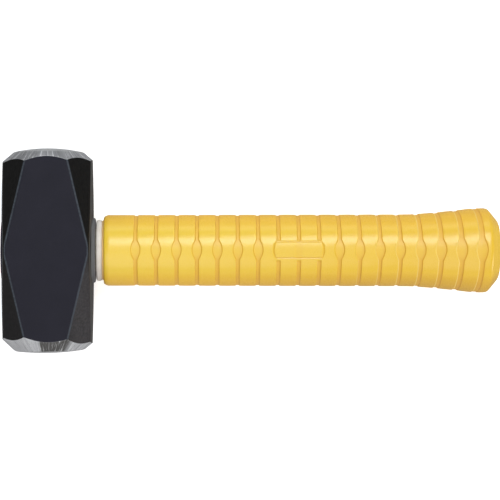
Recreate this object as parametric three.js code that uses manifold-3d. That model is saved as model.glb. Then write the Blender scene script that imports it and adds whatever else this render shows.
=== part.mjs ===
// Club hammer: a short double-faced sledge with a bonded fibreglass handle and a moulded grip.
//
// Millimetres, +Z up. The hammer lies on its side. The origin is on the head's lower cheek, straight under
// the point where the handle axis crosses the striking axis. +X runs along the handle to the butt, and +Y
// runs along the striking axis.
//
// From the outside in: a forged head, a soft sealing ring against the lip of its eye, and a grip moulded
// over a plastic jacket. The jacket sleeves a solid fibreglass rod. The rod's end is centred in the eye by a
// ribbed sleeve and held there by cast resin, and a plug closes the jacket at the butt.
import * as THREE from "three";
import { mergeVertices } from "three/addons/utils/BufferGeometryUtils.js";
import Module from "manifold-3d";

const wasm = await Module();
wasm.setup();

// ---- driving dimensions ----
const TURNED_SIDES = 48; // flats round the turned ends of the head
const OVAL_SIDES = 28; // flats round every oval piece on the handle axis
const FIT_GAP = 0.3; // left between two pieces that touch

const CHEEK_HALF = 21.6; // half the distance between the two flat cheeks
const CHEEK_MIDDLE = 21.8; // half width of a cheek at the eye
const CHEEK_END = 11.1; // half width of a cheek where the ground end begins
const CHEEK_FLAT = 3; // distance either side of the eye's middle over which a cheek keeps its width
const SIDE_MIDDLE = 24.8; // half width of the head over the forging ridge, at the eye
const SIDE_END = 24.1; // the same where the ground end begins
const SIDE_DRAFT = 0.11; // how fast a side falls back from its ridge, for each millimetre of height
const GROUND_START = 47.5; // distance from the eye to where the ground ends begin, along Y
// The striking ends at +Y and -Y. Each is ground slightly off the striking axis, by shift along X. squash is
// how many times wider an end is across the sides than over the cheeks.
const UPPER_END = { reach: 54.5, rim: 18.6, crown: 2.1, squash: 1.015, shift: 0.6 };
const LOWER_END = { reach: 54.8, rim: 18.5, crown: 1.3, squash: 1.14, shift: 1.3 };
const CHAMFER_SLOPE = 0.86; // fall along Y for each millimetre of radius on a ground chamfer

const AXIS_Z = CHEEK_HALF; // handle axis and striking axis
const NECK_FLATNESS = 0.86; // Z over Y of the eye and of all that runs through it
const EYE_WAIST = 13.8; // half width of the eye at its narrowest
const EYE_MOUTH = 15.4; // half width of the eye where it comes out of the head
const BOSS_RADIUS = 17.4; // half width of the lip round the eye
const BOSS_FACE_X = 25.7;
const BOSS_ROUND = 1.2; // rounding of the lip's rim, and height of its spread foot
const FAR_BOSS_X = 24.2; // the lip on the far side, which stands clear of the side near the cheeks only
const FAR_BOSS_ROUND = 0.5;

const ROD_RADIUS = 11.4;
const ROD_START_X = -24.0;
const ROD_END_X = 230;
const SLEEVE_RADIUS = 12.6;
const SLEEVE_START_X = -17;
const RIB_WIDTH = 1.4;
const RIB_START_X = -15;
const RIB_END_X = 21.8;
const RESIN_START_X = -23.7;

const RING_RADIUS = 16.45;
const RING_LENGTH = 3.2;
const RING_ROUND = 1.0;

const JACKET_RADIUS = 15.5;
const JACKET_END_X = 233;
const PLUG_FLANGE = 3;

const GRIP_START_X = 29.9;
const GRIP_RADIUS = 18.85;
const FRONT_ROUND = 1.6; // rounding of the grip's front edge
const GRIP_FLATNESS = 0.92; // Z over Y of the shank of the grip
const SHANK_TAPER = 0.5; // how much wider the shank is where the butt begins to spread
const FLARE_START_X = 193;
const FLARE_END_X = 231;
const FLARE_RADIUS = 22.8;
const FLARE_POWER = 1.33; // how late the spread comes: 1 is a straight cone
const FLARE_FLATNESS = CHEEK_HALF / FLARE_RADIUS; // as thick as the head, so that the hammer lies level
const BUTT_EDGE_X = 237.2; // where the butt's chamfer begins
const BUTT_DOME_X = 242.05; // where the butt's domed end begins
const BUTT_DOME_RADIUS = 16.4;
const BUTT_END_X = 243.8;
const GROOVES = 18;
const FIRST_GROOVE_X = 46.75;
const GROOVE_PITCH = 10.84;
const GROOVE_WIDTH = 2.6;
const GROOVE_FLOOR = 2.0;
const GROOVE_DEPTH = 0.6;

// ---- solids ----
// A closed geometry as a manifold-3d solid.
function solidOf(geometry) {
  const bare = geometry.index ? geometry.toNonIndexed() : geometry.clone();
  bare.deleteAttribute("normal");
  bare.deleteAttribute("uv");
  const merged = mergeVertices(bare, 1e-4);
  return new wasm.Manifold(
    new wasm.Mesh({
      numProp: 3,
      vertProperties: merged.getAttribute("position").array,
      triVerts: new Uint32Array(merged.index.array),
    }),
  );
}

// The geometry of a manifold-3d solid, with flat shading.
function geometryOf(solid) {
  const mesh = solid.getMesh();
  const positions = new Float32Array(mesh.numVert * 3);
  for (let i = 0; i < mesh.numVert; i += 1) {
    const start = i * mesh.numProp;
    positions.set(mesh.vertProperties.subarray(start, start + 3), i * 3);
  }
  const indexed = new THREE.BufferGeometry();
  indexed.setAttribute("position", new THREE.BufferAttribute(positions, 3));
  indexed.setIndex(new THREE.BufferAttribute(mesh.triVerts, 1));
  const geometry = indexed.toNonIndexed();
  geometry.computeVertexNormals();
  return geometry;
}

// A body turned about the handle axis and then flattened in Z. The profile is [x, half width in Y] pairs, and
// flatness is a number or a function of x.
function ovalTurning(profile, flatness = NECK_FLATNESS) {
  const points = profile.map(([x, radius]) => new THREE.Vector2(radius, x));
  const geometry = new THREE.LatheGeometry(points, OVAL_SIDES);
  const position = geometry.getAttribute("position");
  const flatten = typeof flatness === "function" ? flatness : () => flatness;
  for (let i = 0; i < position.count; i += 1) {
    const x = position.getY(i);
    position.setXYZ(i, x, position.getZ(i), position.getX(i) * flatten(x));
  }
  return geometry;
}

// Points on the quarter circle that rounds a corner, from one side of it to the other.
function roundedCorner(centreX, centreRadius, round, fromDegrees, toDegrees, steps = 4) {
  return Array.from({ length: steps + 1 }, (_, i) => {
    const angle = THREE.MathUtils.degToRad(fromDegrees + ((toDegrees - fromDegrees) * i) / steps);
    return [centreX + round * Math.cos(angle), centreRadius + round * Math.sin(angle)];
  });
}

// ---- head ----
// One section of the forging across Y, as a ring of points. Both cheeks narrow from the eye to the ends, the
// corner facets lie at 45 degrees, and each side falls back from a ridge that runs along its middle.
function headSection(y) {
  const along = Math.max(0, Math.abs(y) - CHEEK_FLAT) / (GROUND_START - CHEEK_FLAT);
  const cheek = THREE.MathUtils.lerp(CHEEK_MIDDLE, CHEEK_END, along);
  const ridge = SIDE_MIDDLE - (SIDE_MIDDLE - SIDE_END) * (y / GROUND_START) ** 2;
  const upper = sideOutline(cheek, ridge);
  upper.push(...sideOutline(cheek, ridge).map(([x, z]) => [-x, z]).reverse());
  const lower = upper.slice(1, -1).map(([x, z]) => [x, -z]).reverse();
  return [...upper, ...lower].map(([x, z]) => new THREE.Vector3(x, y, z));
}

// The upper right quarter of a section: ridge, foot of the corner facet, and edge of the cheek.
function sideOutline(cheekEdge, ridge) {
  const steepest = ridge - SIDE_DRAFT * CHEEK_HALF;
  const edge = Math.min(cheekEdge, steepest - 0.2);
  const footZ = (edge + CHEEK_HALF - ridge) / (1 - SIDE_DRAFT);
  return [
    [ridge, 0],
    [ridge - SIDE_DRAFT * footZ, footZ],
    [edge, CHEEK_HALF],
  ];
}

function forgedBar() {
  const half = [CHEEK_FLAT, 16, 32, GROUND_START, LOWER_END.reach + 1];
  const stations = [...half.map((y) => -y).reverse(), ...half];
  const rings = stations.map(headSection);
  const count = rings[0].length;
  const indices = [];
  for (let s = 0; s < rings.length - 1; s += 1) {
    for (let i = 0; i < count; i += 1) {
      const a = s * count + i;
      const b = s * count + ((i + 1) % count);
      indices.push(a, a + count, b, b, a + count, b + count);
    }
  }
  const last = (rings.length - 1) * count;
  for (let i = 1; i < count - 1; i += 1) {
    indices.push(0, i, i + 1, last, last + i + 1, last + i);
  }
  const geometry = new THREE.BufferGeometry().setFromPoints(rings.flat());
  geometry.setIndex(indices);
  return geometry;
}

// The envelope that turning and grinding leave: a crowned striking face and a conical chamfer at each end.
function turnedEnvelope() {
  const profile = [
    ...endProfile(LOWER_END).map(([radius, y]) => [radius, -y]),
    ...endProfile(UPPER_END).reverse(),
  ];
  const points = profile.map(([radius, y]) => new THREE.Vector2(radius, y));
  const geometry = new THREE.LatheGeometry(points, TURNED_SIDES);
  const position = geometry.getAttribute("position");
  for (let i = 0; i < position.count; i += 1) {
    const { squash, shift } = position.getY(i) > 0 ? UPPER_END : LOWER_END;
    position.setX(i, position.getX(i) + shift);
    position.setZ(i, position.getZ(i) / squash);
  }
  return geometry;
}

// One end from the axis outwards, as [radius, y] pairs: the crown, its rim, and the chamfer's cone.
function endProfile({ reach, rim, crown }) {
  const crownRadius = (rim ** 2 + crown ** 2) / (2 * crown);
  const crownSteps = 5;
  const profile = Array.from({ length: crownSteps + 1 }, (_, i) => {
    const radius = (rim * i) / crownSteps;
    return [radius, reach - crownRadius + Math.sqrt(crownRadius ** 2 - radius ** 2)];
  });
  const clearRadius = 36;
  profile.push([clearRadius, reach - crown - CHAMFER_SLOPE * (clearRadius - rim)]);
  return profile;
}

// A raised lip round the eye, with a rounded rim and a spread foot.
function eyeBoss(faceX, round) {
  const rootX = faceX / 2;
  const footX = faceX - 2 * round;
  const rimX = faceX - round;
  return ovalTurning([
    [rootX, 0],
    [rootX, BOSS_RADIUS + round],
    [footX - round, BOSS_RADIUS + round],
    [footX, BOSS_RADIUS + round / 2],
    [rimX - round / 4, BOSS_RADIUS],
    ...roundedCorner(rimX, BOSS_RADIUS - round, round, 90, 0, 3),
    [faceX, 0],
  ]);
}

// Half width of the eye at x: an hourglass, so that the cast resin can't pull through either way.
function eyeRadius(x) {
  const share = Math.min(1, Math.abs(x) / SIDE_MIDDLE);
  return EYE_WAIST + (EYE_MOUTH - EYE_WAIST) * share * share;
}

const EYE_STATIONS = [-24, -16, -8, 0, 8, 16, 24];

function eyeHole() {
  const past = BOSS_FACE_X + 5;
  const mouthChamfer = 1;
  return ovalTurning([
    [-past, 0],
    [-past, EYE_MOUTH + mouthChamfer],
    [-SIDE_MIDDLE, EYE_MOUTH + mouthChamfer],
    ...EYE_STATIONS.map((x) => [x, eyeRadius(x)]),
    [past, EYE_MOUTH],
    [past, 0],
  ]);
}

function headGeometry() {
  const forging = solidOf(forgedBar()).intersect(solidOf(turnedEnvelope()));
  const nearLip = solidOf(eyeBoss(BOSS_FACE_X, BOSS_ROUND));
  const farLip = solidOf(eyeBoss(FAR_BOSS_X, FAR_BOSS_ROUND)).rotate([0, 0, 180]);
  return geometryOf(forging.add(nearLip).add(farLip).subtract(solidOf(eyeHole())));
}

// ---- handle ----
function rodGeometry() {
  const bevel = 0.4;
  return ovalTurning([
    [ROD_START_X, 0],
    [ROD_START_X, ROD_RADIUS - bevel],
    [ROD_START_X + bevel, ROD_RADIUS],
    [ROD_END_X, ROD_RADIUS],
    [ROD_END_X, 0],
  ]);
}

// The four ribs that centre the rod in the eye, each grown by the given gap.
function centringRibs(gap) {
  const startX = RIB_START_X - gap;
  const length = RIB_END_X + gap - startX;
  const width = RIB_WIDTH + 2 * gap;
  const reachY = 2 * (EYE_WAIST - FIT_GAP + gap);
  const across = new THREE.BoxGeometry(length, reachY, width);
  const upright = new THREE.BoxGeometry(length, width, reachY * NECK_FLATNESS);
  const shift = new THREE.Matrix4().makeTranslation(startX + length / 2, 0, 0);
  return solidOf(across.applyMatrix4(shift)).add(solidOf(upright.applyMatrix4(shift)));
}

function sleeveBody(gap, wall) {
  const startX = SLEEVE_START_X - gap;
  const endX = BOSS_FACE_X - FIT_GAP + gap;
  const outside = ovalTurning([
    [startX, 0],
    [startX, SLEEVE_RADIUS + gap],
    [endX, SLEEVE_RADIUS + gap],
    [endX, 0],
  ]);
  return solidOf(outside).add(centringRibs(gap)).subtract(solidOf(rodSpace(wall)));
}

// The rod's own space, grown by a gap and run out past both ends.
function rodSpace(gap) {
  const past = 20;
  const startX = ROD_START_X - past;
  const endX = ROD_END_X + past;
  return ovalTurning([
    [startX, 0],
    [startX, ROD_RADIUS + gap],
    [endX, ROD_RADIUS + gap],
    [endX, 0],
  ]);
}

function eyeSleeveGeometry() {
  return geometryOf(sleeveBody(0, FIT_GAP));
}

// Cast resin: it fills the eye round the sleeve and closes over the sleeve's end at the far mouth.
function resinGeometry() {
  const endX = BOSS_FACE_X - FIT_GAP;
  const stations = [RESIN_START_X, ...EYE_STATIONS.filter((x) => x > RESIN_START_X), endX];
  const poured = solidOf(
    ovalTurning([
      [RESIN_START_X, 0],
      ...stations.map((x) => [x, eyeRadius(x) - FIT_GAP]),
      [endX, 0],
    ]),
  );
  return geometryOf(poured.subtract(sleeveBody(FIT_GAP, -FIT_GAP)).subtract(solidOf(rodSpace(FIT_GAP))));
}

function sealRingGeometry() {
  const startX = BOSS_FACE_X + FIT_GAP;
  const endX = startX + RING_LENGTH;
  const bore = ROD_RADIUS + FIT_GAP;
  const rimCentre = RING_RADIUS - RING_ROUND;
  return ovalTurning([
    [startX, bore],
    ...roundedCorner(startX + RING_ROUND, rimCentre, RING_ROUND, 180, 90, 3),
    ...roundedCorner(endX - RING_ROUND, rimCentre, RING_ROUND, 90, 0, 3),
    [endX, bore],
    [startX, bore],
  ]);
}

const JACKET_START_X = BOSS_FACE_X + RING_LENGTH + 2 * FIT_GAP;

function jacketGeometry() {
  const bore = ROD_RADIUS + FIT_GAP;
  return ovalTurning([
    [JACKET_START_X, bore],
    [JACKET_START_X, JACKET_RADIUS],
    [JACKET_END_X, JACKET_RADIUS],
    [JACKET_END_X, bore],
    [JACKET_START_X, bore],
  ]);
}

function endPlugGeometry() {
  const flangeX = JACKET_END_X + FIT_GAP;
  return ovalTurning([
    [ROD_END_X + FIT_GAP, 0],
    [ROD_END_X + FIT_GAP, ROD_RADIUS],
    [flangeX, ROD_RADIUS],
    [flangeX, JACKET_RADIUS],
    [flangeX + PLUG_FLANGE, JACKET_RADIUS],
    [flangeX + PLUG_FLANGE, 0],
  ]);
}

// ---- grip ----
// How far along its spread the butt is, from 0 on the shank to 1 at its widest.
function flareShare(x) {
  return THREE.MathUtils.clamp((x - FLARE_START_X) / (FLARE_END_X - FLARE_START_X), 0, 1);
}

function gripRadius(x) {
  const along = (x - GRIP_START_X) / (FLARE_START_X - GRIP_START_X);
  const shank = GRIP_RADIUS + SHANK_TAPER * Math.min(1, along);
  return shank + (FLARE_RADIUS - GRIP_RADIUS - SHANK_TAPER) * flareShare(x) ** FLARE_POWER;
}

function gripFlatness(x) {
  return THREE.MathUtils.lerp(GRIP_FLATNESS, FLARE_FLATNESS, THREE.MathUtils.smoothstep(flareShare(x), 0, 1));
}

function gripGeometry() {
  const profile = [
    [GRIP_START_X, 0],
    ...roundedCorner(GRIP_START_X + FRONT_ROUND, GRIP_RADIUS - 0.3 - FRONT_ROUND, FRONT_ROUND, 180, 90, 3),
  ];
  for (let k = 0; k < GROOVES; k += 1) {
    const x = FIRST_GROOVE_X + k * GROOVE_PITCH;
    for (const side of [-1, 1]) {
      const edge = [x + (side * GROOVE_WIDTH) / 2, 0];
      const floor = [x + (side * GROOVE_FLOOR) / 2, GROOVE_DEPTH];
      const pair = side < 0 ? [edge, floor] : [floor, edge];
      profile.push(...pair.map(([at, depth]) => [at, gripRadius(at) - depth]));
    }
  }
  profile.push([BUTT_EDGE_X, FLARE_RADIUS - 0.2]);
  for (const share of [1, 0.8, 0.55, 0.25, 0]) {
    const rise = (BUTT_END_X - BUTT_DOME_X) * (1 - share * share);
    profile.push([BUTT_DOME_X + rise, BUTT_DOME_RADIUS * share]);
  }
  const outside = solidOf(ovalTurning(profile, gripFlatness));
  const boreRadius = JACKET_RADIUS + FIT_GAP;
  const boreEndX = JACKET_END_X + PLUG_FLANGE + 2 * FIT_GAP;
  const bore = ovalTurning([
    [GRIP_START_X - 5, 0],
    [GRIP_START_X - 5, boreRadius],
    [boreEndX, boreRadius],
    [boreEndX, 0],
  ]);
  return geometryOf(outside.subtract(solidOf(bore)));
}

// ---- assembly ----
const MATERIALS = {
  blackenedSteel: new THREE.MeshStandardMaterial({ color: 0x2c2c33, roughness: 0.45, metalness: 0.6 }),
  fibreglass: new THREE.MeshStandardMaterial({ color: 0xe2dcb8, roughness: 0.5, metalness: 0 }),
  resin: new THREE.MeshStandardMaterial({ color: 0xb89a5e, roughness: 0.25, metalness: 0 }),
  whitePlastic: new THREE.MeshStandardMaterial({ color: 0xdcd4cd, roughness: 0.55, metalness: 0 }),
  jacketPlastic: new THREE.MeshStandardMaterial({ color: 0xc78f33, roughness: 0.5, metalness: 0 }),
  yellowRubber: new THREE.MeshStandardMaterial({ color: 0xf2c84e, roughness: 0.5, metalness: 0 }),
};

const PIECES = [
  ["head", headGeometry(), MATERIALS.blackenedSteel],
  ["fibreglass_rod", rodGeometry(), MATERIALS.fibreglass],
  ["eye_sleeve", eyeSleeveGeometry(), MATERIALS.whitePlastic],
  ["resin_bond", resinGeometry(), MATERIALS.resin],
  ["seal_ring", sealRingGeometry(), MATERIALS.whitePlastic],
  ["handle_jacket", jacketGeometry(), MATERIALS.jacketPlastic],
  ["end_plug", endPlugGeometry(), MATERIALS.jacketPlastic],
  ["grip", gripGeometry(), MATERIALS.yellowRubber],
];

const hammer = new THREE.Group();
hammer.position.z = AXIS_Z;
for (const [name, geometry, material] of PIECES) {
  const mesh = new THREE.Mesh(geometry, material);
  mesh.name = name;
  hammer.add(mesh);
}

export default hammer;
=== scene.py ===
"""Club hammer on a pale floor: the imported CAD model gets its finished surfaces, materials, lights and camera.

Lengths of the hammer are in millimetres, measured from the point where the handle axis crosses the striking
axis, until to_metres() puts a mesh into the frame. x runs along the handle, y along the striking axis, z up.
The lights, the floor and the camera are placed in metres.
"""
import math

import bmesh
import bpy
import numpy as np
from mathutils import Matrix, Vector


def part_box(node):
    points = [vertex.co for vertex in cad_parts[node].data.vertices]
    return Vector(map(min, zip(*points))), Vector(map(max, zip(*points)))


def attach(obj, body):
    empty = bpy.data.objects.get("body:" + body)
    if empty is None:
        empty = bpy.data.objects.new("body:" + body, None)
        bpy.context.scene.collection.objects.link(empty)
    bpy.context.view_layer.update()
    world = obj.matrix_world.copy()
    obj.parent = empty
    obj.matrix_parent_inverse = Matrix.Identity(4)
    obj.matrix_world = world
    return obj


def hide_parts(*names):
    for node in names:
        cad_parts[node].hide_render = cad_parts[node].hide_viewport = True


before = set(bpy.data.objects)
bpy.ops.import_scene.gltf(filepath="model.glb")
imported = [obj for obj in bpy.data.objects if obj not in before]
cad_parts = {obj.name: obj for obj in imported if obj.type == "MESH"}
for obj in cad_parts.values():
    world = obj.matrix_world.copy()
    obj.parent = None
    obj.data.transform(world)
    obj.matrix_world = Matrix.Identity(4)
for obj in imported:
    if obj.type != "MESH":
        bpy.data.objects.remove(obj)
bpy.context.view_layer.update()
METRE = 1000.0  # in millimetres
MILLIMETRE = 0.001  # in metres


# ---- sizes taken from the frame ----
def box_mm(node):
    """A CAD node's lowest and highest corner, in millimetres from the crossing of the two axes."""
    low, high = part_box(node)
    return [np.array(corner) * METRE - [0, 0, AXIS_Z] for corner in (low, high)]


AXIS_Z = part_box("head")[1].z * METRE / 2
HEAD_LOW, HEAD_HIGH = box_mm("head")
GRIP_LOW, GRIP_HIGH = box_mm("grip")
RING_LOW, RING_HIGH = box_mm("seal_ring")
JACKET_HIGH = box_mm("handle_jacket")[1]
ROD_LOW, ROD_HIGH = box_mm("fibreglass_rod")
RESIN_LOW, RESIN_HIGH = box_mm("resin_bond")
SLEEVE_LOW, SLEEVE_HIGH = box_mm("eye_sleeve")
FIT_GAP = 0.3  # kept between pieces that touch

# ---- head ----
CHEEK_HALF = HEAD_HIGH[2]
BOSS_FACE_X = HEAD_HIGH[0]
CHEEK_MIDDLE = 21.8  # half width of a cheek at the eye
CHEEK_END = 11.1  # half width of a cheek where the ground end begins
CHEEK_FLAT = 2.0  # the cheek keeps its full width this far either side of its middle
GROUND_START = 47.5
SIDE_MIDDLE = -HEAD_LOW[0]  # distance from the striking axis to a side, at the eye
SIDE_END = 24.1
SIDE_DRAFT = 0.11  # how far a side falls back for each millimetre up or down from its ridge
FACET_ROUND = 0.6  # rounding of the edges between facets
GROUND_ROUND = 0.22  # rounding of the edges that grinding leaves
CHAMFER_SLOPE = 0.86  # how far a ground chamfer falls back for each millimetre out from the axis
# A ground end: how far it reaches along y, the radius (rim) and height (crown) of its domed face, how much
# flatter the face and the chamfer round it are in z (squash), and how far off the axis they lie (shift).
UPPER_END = {"reach": HEAD_HIGH[1], "rim": 18.6, "crown": 2.1, "squash": 1.015, "shift": 0.6}
LOWER_END = {"reach": -HEAD_LOW[1], "rim": 18.5, "crown": 1.3, "squash": 1.14, "shift": 1.3}
LOWER_TILT = 0.022  # the lower striking face is not quite square to the head
NECK_FLATNESS = 0.86  # z over y of the eye and of all that runs through it
EYE_WAIST = 13.8
EYE_MOUTH = 15.4
EYE_PAST = 32.0  # the eye is cut from this far out on both sides
BOSS_RADIUS = 17.4
FAR_BOSS_X = 24.2  # the lip on the far side stands clear of the side near the cheeks only
# The lips round the eye: rim rounds the outer edge and foot is the fillet against the side of the head.
NEAR_LIP = {"side": 1, "face_x": BOSS_FACE_X, "rim": 1.0, "foot": 1.6}
FAR_LIP = {"side": -1, "face_x": FAR_BOSS_X, "rim": 0.5, "foot": 0.6}

# ---- inside the eye, and where it meets the handle ----
COLLAR = 0.6  # how far the jacket's collar stands proud of the jacket
COLLAR_GAP = 0.05
SLEEVE_RADIUS = 12.6
RIB_WIDTH = 1.4
RIB_START_X = -15.0
RIB_END_X = 21.8

# ---- grip ----
GRIP_RADIUS = 18.85
SHANK_TAPER = 0.5
GRIP_FLATNESS = 0.92
FLARE_START_X = 193.0
FLARE_END_X = 231.0
FLARE_POWER = 1.33
FLARE_RADIUS = GRIP_HIGH[1]
FLARE_FLATNESS = GRIP_HIGH[2] / GRIP_HIGH[1]
BUTT_EDGE_X = 236.4
BUTT_DOME_X = 242.05
BUTT_DOME_RADIUS = 16.4
FRONT_ROUND = 1.6
GROOVES = 18
FIRST_GROOVE_X = 46.75
GROOVE_PITCH = 10.84
GROOVE_HALF = 0.86  # half width of the first groove, between the middles of its walls
GROOVE_GROWTH = 0.14  # how much wider the last groove on the straight part is
GROOVE_SPREAD = 0.34  # how much wider a groove is on the widest part of the butt
GROOVE_DEPTH = 0.5
SIDE_DEPTH = 0.6  # share of that depth at the two sides of the grip
WALL = 0.45  # width of a groove's sloping wall
BAND_CROWN = 0.07  # how far a band falls from its middle to its edges
POCKET_BULGE = 1.66  # extra half width where a groove opens into a pocket
POCKET_HALF = 5.6  # half height of a pocket, along y
PANEL_GROOVES = (7, 8, 9)  # these grooves stop at the blank panel on the upper side
PANEL_HALF = 4.3  # half height of the panel, along y
BORDER_DEPTH = 0.36  # the fine line round the panel
BORDER_HALF = 0.3
STRIP_HALF = 2.2  # half width of the sunk strip across the middle of the panel
STRIP_DEPTH = 0.13
PATTERN_LIFT = 0.25  # the pockets sit this far towards +y
LEAN_START = -0.75  # how much nearer the butt the first groove is at the top than at the sides
LEAN_RISE = 2.0  # and how much more than that for the last groove


# ---- numpy helpers ----
def smoothstep(t):
    """0 up to 0, 1 from 1, and a smooth rise between them."""
    t = np.clip(t, 0, 1)
    return t * t * (3 - 2 * t)


def rounded_max(distances, radius):
    """The outside distance to solids that all overlap, with the edges between them rounded."""
    total = sum(np.maximum(d + radius, 0) ** 2 for d in distances)
    inner = np.maximum.reduce(distances)
    return np.where(inner > -radius, np.sqrt(total) - radius, inner)


# ---- meshes ----
def to_metres(points):
    """Points from the crossing of the two axes, in the frame's own metres."""
    return np.asarray(points, float) * MILLIMETRE + [0, 0, AXIS_Z * MILLIMETRE]


def mesh_object(name, points, faces, sharp_angle=None):
    """A smooth-shaded mesh object from points in millimetres."""
    mesh = bpy.data.meshes.new(name)
    mesh.from_pydata(to_metres(points).tolist(), [], faces)
    mesh.validate()
    obj = bpy.data.objects.new(name, mesh)
    bpy.context.scene.collection.objects.link(obj)
    tidy_mesh(obj, sharp_angle)
    return obj


def tidy_mesh(obj, sharp_angle=None):
    """Outward normals and smooth shading, with edges above an angle kept sharp."""
    work = bmesh.new()
    work.from_mesh(obj.data)
    bmesh.ops.recalc_face_normals(work, faces=work.faces)
    work.to_mesh(obj.data)
    work.free()
    obj.data.polygons.foreach_set("use_smooth", [True] * len(obj.data.polygons))
    if sharp_angle is not None:
        obj.data.set_sharp_from_angle(angle=math.radians(sharp_angle))


def tube_faces(rows, columns):
    """Quads of a grid that closes on itself across its columns."""
    i, j = np.meshgrid(np.arange(rows - 1), np.arange(columns), indexing="ij")
    k = (j + 1) % columns
    quads = np.stack([i * columns + j, i * columns + k, (i + 1) * columns + k, (i + 1) * columns + j], -1)
    return quads.reshape(-1, 4).tolist()


def capped_grid(name, grid, sharp_angle=None):
    """A closed body from a grid of rings (rows, columns, xyz), with a fan at each end."""
    rows, columns = grid.shape[:2]
    points = np.concatenate([grid.reshape(-1, 3), [grid[0].mean(0)], [grid[-1].mean(0)]])
    faces = tube_faces(rows, columns)
    first, last = rows * columns, rows * columns + 1
    for j in range(columns):
        k = (j + 1) % columns
        faces.append((first, k, j))
        faces.append((last, (rows - 1) * columns + j, (rows - 1) * columns + k))
    return mesh_object(name, points, faces, sharp_angle)


def looped_grid(name, grid, sharp_angle=None):
    """A closed ring from a grid whose last row joins its first."""
    rows, columns = grid.shape[:2]
    faces = tube_faces(rows + 1, columns)
    faces = (np.array(faces) % (rows * columns)).tolist()
    return mesh_object(name, grid.reshape(-1, 3), faces, sharp_angle)


def merge_slivers(obj, distance=2e-6):
    """Close the hairline triangles that cutting leaves, up to a distance in metres."""
    work = bmesh.new()
    work.from_mesh(obj.data)
    bmesh.ops.remove_doubles(work, verts=work.verts, dist=distance)
    bmesh.ops.dissolve_degenerate(work, edges=work.edges, dist=distance)
    work.to_mesh(obj.data)
    work.free()


def block(name, low, high):
    """A plain box, used to cut room for a rib."""
    points = [(x, y, z) for x in (low[0], high[0]) for y in (low[1], high[1]) for z in (low[2], high[2])]
    faces = [(0, 1, 3, 2), (4, 6, 7, 5), (0, 4, 5, 1), (2, 3, 7, 6), (0, 2, 6, 4), (1, 5, 7, 3)]
    return mesh_object(name, points, faces)


def turned_rows(profile, angle, flatness):
    """Rings about the handle axis from [x, half width in y] pairs, with a point at each angle."""
    profile = np.asarray(profile, float)
    x = np.repeat(profile[:, :1], len(angle), 1)
    return np.stack([x, profile[:, 1:] * np.cos(angle), profile[:, 1:] * np.sin(angle) * flatness], -1)


def oval_grid(profile, columns=128):
    """Rings of evenly spaced points about the handle axis, as flat as the eye."""
    return turned_rows(profile, np.linspace(0, 2 * math.pi, columns, endpoint=False), NECK_FLATNESS)


def corner_arc(centre_x, centre_radius, radius, start, stop, steps=6):
    """Points of a rounded corner in an [x, radius] profile, from one angle to the other in degrees."""
    angle = np.radians(np.linspace(start, stop, steps + 1))
    return np.stack([centre_x + radius * np.cos(angle), centre_radius + radius * np.sin(angle)], -1).tolist()


def boolean(target, tool, operation):
    """Join a tool object to the target or cut it away, and remove the tool."""
    modifier = target.modifiers.new("cut", "BOOLEAN")
    modifier.operation = operation
    modifier.object = tool
    modifier.solver = "EXACT"
    bpy.context.view_layer.update()
    evaluated = target.evaluated_get(bpy.context.evaluated_depsgraph_get())
    result = bpy.data.meshes.new_from_object(evaluated)
    target.modifiers.clear()
    old = target.data
    target.data = result
    bpy.data.meshes.remove(old)
    bpy.data.objects.remove(tool)


# ---- head shape ----
def facet_distance(x, y, z):
    """Outside distance to the forging, before its ends are ground."""
    z = np.abs(z)
    along = np.maximum(np.abs(y) - CHEEK_FLAT, 0) / (GROUND_START - CHEEK_FLAT)
    cheek_edge = CHEEK_MIDDLE + (CHEEK_END - CHEEK_MIDDLE) * along
    slope = (CHEEK_MIDDLE - CHEEK_END) / (GROUND_START - CHEEK_FLAT)
    steep = math.sqrt(2 + slope**2)
    ridge = SIDE_MIDDLE - (SIDE_MIDDLE - SIDE_END) * (y / GROUND_START) ** 2
    soft_z = np.sqrt(z**2 + 1.0) - 1.0
    cheek = z - CHEEK_HALF
    side = (np.abs(x) - ridge + SIDE_DRAFT * soft_z) / math.sqrt(1 + SIDE_DRAFT**2)
    corner = (np.abs(x) + z - cheek_edge - CHEEK_HALF) / steep
    return rounded_max([cheek, side, corner], FACET_ROUND)


def end_radius(x, z, end):
    """A ground end's own radius at a point: it is off the striking axis and squashed."""
    return np.hypot(x - end["shift"], end["squash"] * z)


def dome_radius(end):
    """Radius of the sphere that crowns a striking face."""
    return (end["rim"] ** 2 + end["crown"] ** 2) / (2 * end["crown"])


def ground_distance(x, y, z):
    """Outside distance to the envelope that grinding leaves at both ends."""
    result = None
    for end, sign in ((UPPER_END, 1), (LOWER_END, -1)):
        radius = end_radius(x, z, end)
        shoulder = end["reach"] - end["crown"]
        cone = (sign * y + CHAMFER_SLOPE * (radius - end["rim"]) - shoulder) / math.sqrt(1 + CHAMFER_SLOPE**2)
        sphere = dome_radius(end)
        centre = end["reach"] - sphere
        crown = np.where(sign * y > 0, np.hypot(radius, sign * y - centre) - sphere, -sphere)
        one = rounded_max([cone, crown], GROUND_ROUND * 2)
        result = one if result is None else np.maximum(result, one)
    return result


def head_distance(p):
    """Outside distance to the finished head, at points with x, y and z last."""
    x, y, z = p[..., 0], p[..., 1], p[..., 2]
    return rounded_max([facet_distance(x, y, z), ground_distance(x, y, z)], GROUND_ROUND)


def settle(points, distance, steps=6):
    """Points moved onto the surface where the distance is zero."""
    points = points.copy()
    h = 0.01
    for _ in range(steps):
        value = distance(points)
        gradient = np.stack(
            [(distance(points + step) - distance(points - step)) / (2 * h) for step in np.eye(3) * h], -1
        )
        length = np.maximum((gradient**2).sum(-1, keepdims=True), 1e-6)
        points -= value[..., None] * gradient / length
    return points


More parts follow.
